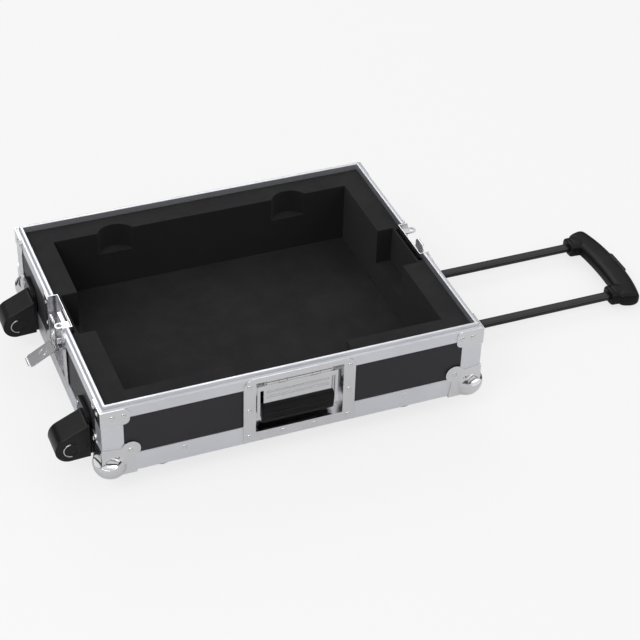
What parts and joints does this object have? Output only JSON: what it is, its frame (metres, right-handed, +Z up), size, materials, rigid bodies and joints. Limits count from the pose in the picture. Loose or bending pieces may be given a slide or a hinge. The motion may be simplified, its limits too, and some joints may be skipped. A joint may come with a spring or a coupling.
{
  "type": "flight case base",
  "caption": "Open base of a foam-lined flight case for a record deck, with butterfly latches, a sprung carry handle, edge castors and a pull-out trolley handle.",
  "frame": {"origin": "on the ground, under the centre of the case body", "axes": "+X towards the pull-out handle, -Y towards the side with the carry handle, +Z up"},
  "size_m": [0.9496, 0.456, 0.1512],
  "materials": {
    "laminate": "black laminate skin on plywood, satin",
    "extrusion": "bright anodised",
    "plated_steel": "bright plated",
    "pin_steel": "plain",
    "foam": "black closed-cell foam",
    "rubber": "matt",
    "handle_plastic": "satin moulded",
    "castor_plastic": "semi-gloss moulded",
    "tyre": "matt",
    "dark_tube": "black"
  },
  "bodies": {
    "case": {"floor_panel": "laminate", "front_panel": "laminate", "back_panel": "laminate", "left_panel": "laminate", "right_panel": "laminate", "front_rim": "extrusion", "back_rim": "extrusion", "left_rim": "extrusion", "right_rim": "extrusion", "front_angle": "extrusion", "back_angle": "extrusion", "left_angle": "extrusion", "right_angle": "extrusion", "corner_posts": "extrusion", "ball_corners": "plated_steel", "corner_brackets": "plated_steel", "foam_lining": "foam", "floor_pad": "foam", "rubber_feet": "rubber", "foot_screws": "pin_steel", "handle_dish": "plated_steel", "handle_pin": "pin_steel", "handle_springs": "pin_steel", "left_latch_dish": "plated_steel", "right_latch_dish": "plated_steel", "front_castor_housing": "castor_plastic", "back_castor_housing": "castor_plastic", "front_castor_axle": "pin_steel", "back_castor_axle": "pin_steel", "trolley_sleeves": "pin_steel", "trolley_guides": "handle_plastic", "front_rivets": "plated_steel", "back_rivets": "plated_steel", "left_rivets": "plated_steel", "right_rivets": "plated_steel", "handle_rivets": "plated_steel", "latch_rivets": "plated_steel"},
    "carry_handle": {"handle_bail": "plated_steel", "handle_grip": "handle_plastic"},
    "trolley": {"trolley_tubes": "dark_tube", "trolley_grip": "handle_plastic"},
    "release": {"release_button": "handle_plastic", "release_rods": "pin_steel"},
    "front_wheel": {"front_castor_hub": "castor_plastic", "front_castor_tyre": "tyre"},
    "back_wheel": {"back_castor_hub": "castor_plastic", "back_castor_tyre": "tyre"},
    "left_bolt": {"left_drawbolt": "plated_steel"},
    "left_twist": {"left_twist_boss": "plated_steel", "left_wing_pin": "pin_steel"},
    "left_upper_flap": {"left_upper_wing": "plated_steel"},
    "left_lower_flap": {"left_lower_wing": "plated_steel"},
    "right_bolt": {"right_drawbolt": "plated_steel"},
    "right_twist": {"right_twist_boss": "plated_steel", "right_wing_pin": "pin_steel"},
    "right_upper_flap": {"right_upper_wing": "plated_steel"},
    "right_lower_flap": {"right_lower_wing": "plated_steel"}
  },
  "joints": [
    {"name": "carry_handle_swing", "type": "hinge", "parent": "case", "child": "carry_handle", "pos_m": [0.003, -0.2184, 0.132], "axis": [-1, 0, 0], "range_deg": [0, 90], "stiffness_Nm_per_rad": 0.25, "springref_deg": -34.38},
    {"name": "trolley_slide", "type": "slide", "parent": "case", "child": "trolley", "axis": [1, 0, 0], "range_m": [-0.283, 0]},
    {"name": "release_push", "type": "slide", "parent": "trolley", "child": "release", "axis": [-1, 0, 0], "range_m": [0, 0.004], "stiffness_N_per_m": 600, "springref_m": -0.004},
    {"name": "front_wheel_spin", "type": "hinge", "parent": "case", "child": "front_wheel", "pos_m": [-0.304, -0.1585, 0.056], "axis": [0, 1, 0], "continuous": true},
    {"name": "back_wheel_spin", "type": "hinge", "parent": "case", "child": "back_wheel", "pos_m": [-0.304, 0.1285, 0.056], "axis": [0, 1, 0], "continuous": true},
    {"name": "right_twist_turn", "type": "hinge", "parent": "case", "child": "right_twist", "pos_m": [0.2769, 0, 0.096], "axis": [1, 0, 0], "range_deg": [0, 180]},
    {"name": "right_bolt_lift", "type": "slide", "parent": "case", "child": "right_bolt", "axis": [0, 0, 1], "range_m": [0, 0.009]},
    {"name": "right_upper_fold", "type": "hinge", "parent": "right_twist", "child": "right_upper_flap", "pos_m": [0.2769, 0, 0.096], "axis": [0, 1, 0], "range_deg": [0, 70]},
    {"name": "right_lower_fold", "type": "hinge", "parent": "right_twist", "child": "right_lower_flap", "pos_m": [0.2769, 0, 0.096], "axis": [0, 1, 0], "range_deg": [-15, 60]},
    {"name": "left_twist_turn", "type": "hinge", "parent": "case", "child": "left_twist", "pos_m": [-0.2769, 0, 0.096], "axis": [-1, 0, 0], "range_deg": [0, 180]},
    {"name": "left_bolt_lift", "type": "slide", "parent": "case", "child": "left_bolt", "axis": [0, 0, 1], "range_m": [0, 0.009]},
    {"name": "left_upper_fold", "type": "hinge", "parent": "left_twist", "child": "left_upper_flap", "pos_m": [-0.2769, 0, 0.096], "axis": [0, -1, 0], "range_deg": [0, 70]},
    {"name": "left_lower_fold", "type": "hinge", "parent": "left_twist", "child": "left_lower_flap", "pos_m": [-0.2769, 0, 0.096], "axis": [0, -1, 0], "range_deg": [-15, 60]}
  ],
  "couplings": [
    {"joint": "right_bolt_lift", "follows": "right_twist_turn", "m_per_rad": 0.0028647},
    {"joint": "left_bolt_lift", "follows": "left_twist_turn", "m_per_rad": 0.0028647}
  ]
}
